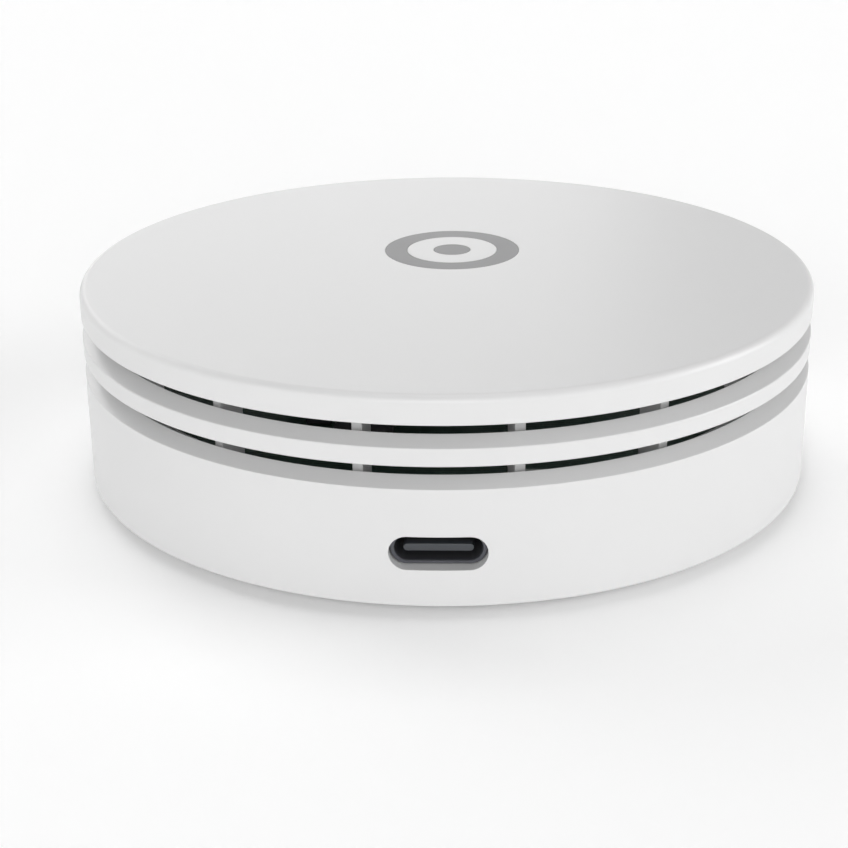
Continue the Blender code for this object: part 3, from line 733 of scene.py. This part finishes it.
rings = [shell_ring(shell_back), shell_ring(mouth + 0.5), shell_ring(mouth + 0.2, flare=1),
         shell_ring(mouth + 0.05, flare=1), shell_ring(mouth, 0.04, flare=1),
         shell_ring(mouth, SHELL_WALL - LEAD_IN), shell_ring(mouth + 0.06, SHELL_WALL - LEAD_IN / 3),
         shell_ring(mouth + 0.25, SHELL_WALL), shell_ring(shell_back - SHELL_WALL, SHELL_WALL)]
bm = bmesh.new()
add_loft(bm, rings)
dress(to_object("socket_shell", bm), "usb_shell")

# %% Tongue and contacts
TONGUE_WIDTH, TONGUE_THICK = 6.69, 0.74
BLOCK_DEPTH, BLOCK_INSET = 1.6, 0.4
CONTACTS, CONTACT_PITCH = 12, 0.5
CONTACT_SIZE = (0.25, 3.2, 0.03)
tongue_front, tongue_back = span("usb_tongue", axis=1)


def blade_ring(inset, y):
    """The tongue's outline at y, moved inwards by an inset."""
    return upright_ring(TONGUE_WIDTH - 2 * inset, TONGUE_THICK - 2 * inset, y, 8, 4)


bm = bmesh.new()
add_loft(bm, [blade_ring(0.06, tongue_front), blade_ring(0.015, tongue_front + 0.03),
              blade_ring(0, tongue_front + 0.1), blade_ring(0, tongue_back - 0.2)])
tongue = to_object("tongue_moulding", bm)
bm = bmesh.new()
add_loft(bm, [shell_ring(tongue_back - BLOCK_DEPTH, BLOCK_INSET), shell_ring(tongue_back, BLOCK_INSET)])
combine(tongue, bm, "UNION")
dress(tongue, "usb_tongue", finish=socket_plastic)

bm = bmesh.new()
for face in (-1, 1):
    contact_level = port_level + face * (TONGUE_THICK / 2 + 0.005)
    for i in range(CONTACTS):
        x = (i - (CONTACTS - 1) / 2) * CONTACT_PITCH
        add_box(bm, (x, tongue_front + 3.2, contact_level), CONTACT_SIZE)
contacts = to_object("socket_contacts", bm)
contacts.data.materials.append(finishes["antenna_brass"])
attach(contacts, "hub")
print("contacts:", 2 * CONTACTS)

# %% [markdown]
# ## Base, feet and button
#
# Nobody sees the underside in use, but the hub is picked up often enough. The base plate sits
# a little inside the housing's edge. Four rubber feet stand in shallow pockets, three of them
# over screws, whose heads sit in the base and whose shanks go up through posts. A small dish
# holds the reset button, and the blank label lies in a recess a little larger than itself.

# %% Base plate
BASE_THICK, BASE_ROUND = 1.8, 0.25
POST_RADIUS = 3.4
POCKET_RADIUS, POCKET_LEVEL = 4.3, 2.0
HEAD_RADIUS, HEAD_LEVEL = 2.35, 4.2
DISH_RADIUS, DISH_FLOOR, DISH_DEPTH = 3.2, 2.8, 0.5
BUTTON_HOLE = 1.6
LABEL_GAP, LABEL_RECESS, LABEL_CORNER = 0.15, 0.4, 2.0
base_radius = span("base_plate", axis=0)[1]
base_top = base_bottom + BASE_THICK
below = base_bottom - 1
label_low, label_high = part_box("rating_label")
button_y = sum(span("reset_button", axis=1)) / 2

bm = bmesh.new()
outline = [(0, base_bottom)]
outline += arc((base_radius - BASE_ROUND, base_bottom + BASE_ROUND), BASE_ROUND, -90, 0, 4)
outline += [(base_radius, base_top), (0, base_top)]
add_turned(bm, outline)
base = to_object("base_disc", bm)

bm = bmesh.new()
for spot in SCREW_SPOTS:
    add_rod(bm, POST_RADIUS, base_top - 0.8, board_bottom - 0.3, spot)
combine(base, bm, "UNION")

bm = bmesh.new()
for spot in [*SCREW_SPOTS, (0.0, -feet_circle)]:
    outline = [(0, below), (POCKET_RADIUS, below), (POCKET_RADIUS, POCKET_LEVEL)]
    if spot in SCREW_SPOTS:
        outline += [(HEAD_RADIUS, POCKET_LEVEL), (HEAD_RADIUS, HEAD_LEVEL),
                    (SCREW_HOLE, HEAD_LEVEL), (SCREW_HOLE, board_bottom)]
    add_turned(bm, outline + [(0, outline[-1][1])], SMALL_SIDES, spot)
dish_level = base_bottom + DISH_DEPTH
add_turned(bm, [(0, below), (DISH_RADIUS, below), (DISH_RADIUS, base_bottom), (DISH_FLOOR, dish_level),
                (BUTTON_HOLE, dish_level), (BUTTON_HOLE, base_top + 1), (0, base_top + 1)],
           SMALL_SIDES, (0.0, button_y))
combine(base, bm, "DIFFERENCE")

bm = bmesh.new()
label_size = (label_high - label_low) / MM
label_middle = (label_high + label_low) / 2 / MM
recess_size = (label_size.x + 2 * LABEL_GAP, label_size.y + 2 * LABEL_GAP, 1 + LABEL_RECESS)
add_box(bm, (label_middle.x, label_middle.y, below + recess_size[2] / 2), recess_size)
round_upright(bm, LABEL_CORNER, segments=8)
combine(base, bm, "DIFFERENCE")
dress(base, "base_plate")

# %% Feet and reset button
FOOT_RADIUS, FOOT_FLAT, FOOT_ROUND = 4.0, 3.1, 0.45
CAP_RADIUS, CAP_ROUND = 1.3, 0.2
FLANGE_RADIUS, FLANGE = 2.5, 0.6
foot_top = span("rubber_foot_1")[1]
for number in range(1, 5):
    low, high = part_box(f"rubber_foot_{number}")
    middle = (low + high) / 2 / MM
    outline = [(0, 0), (FOOT_FLAT, 0)]
    outline += arc((FOOT_RADIUS - FOOT_ROUND, FOOT_ROUND), FOOT_ROUND, -90, 0, 6)
    outline += [(FOOT_RADIUS, foot_top), (0, foot_top)]
    bm = bmesh.new()
    add_turned(bm, outline, ROUND_SIDES, (middle.x, middle.y))
    dress(to_object(f"foot_{number}", bm), f"rubber_foot_{number}")

button_bottom, button_top = span("reset_button")
flange_bottom = button_top - FLANGE
bm = bmesh.new()
outline = [(0, button_bottom)]
outline += arc((CAP_RADIUS - CAP_ROUND, button_bottom + CAP_ROUND), CAP_ROUND, -90, 0, 5)
outline += [(CAP_RADIUS, flange_bottom), (FLANGE_RADIUS, flange_bottom),
            (FLANGE_RADIUS, button_top), (0, button_top)]
add_turned(bm, outline, SMALL_SIDES, (0.0, button_y))
dress(to_object("button_cap", bm), "reset_button", body="button")

# %% [markdown]
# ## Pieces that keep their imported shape
#
# The board and everything on it are seen only through the grooves, as dark shapes in deep
# shade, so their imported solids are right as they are. Each takes the finish of its slot.

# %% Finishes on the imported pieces
carried = 0
for name, node in frame["nodes"].items():
    if not node.hide_render:
        node.data.materials.clear()
        node.data.materials.append(finishes[slot_of[name]])
        carried += 1
print("packed pieces with a new finish:", carried)
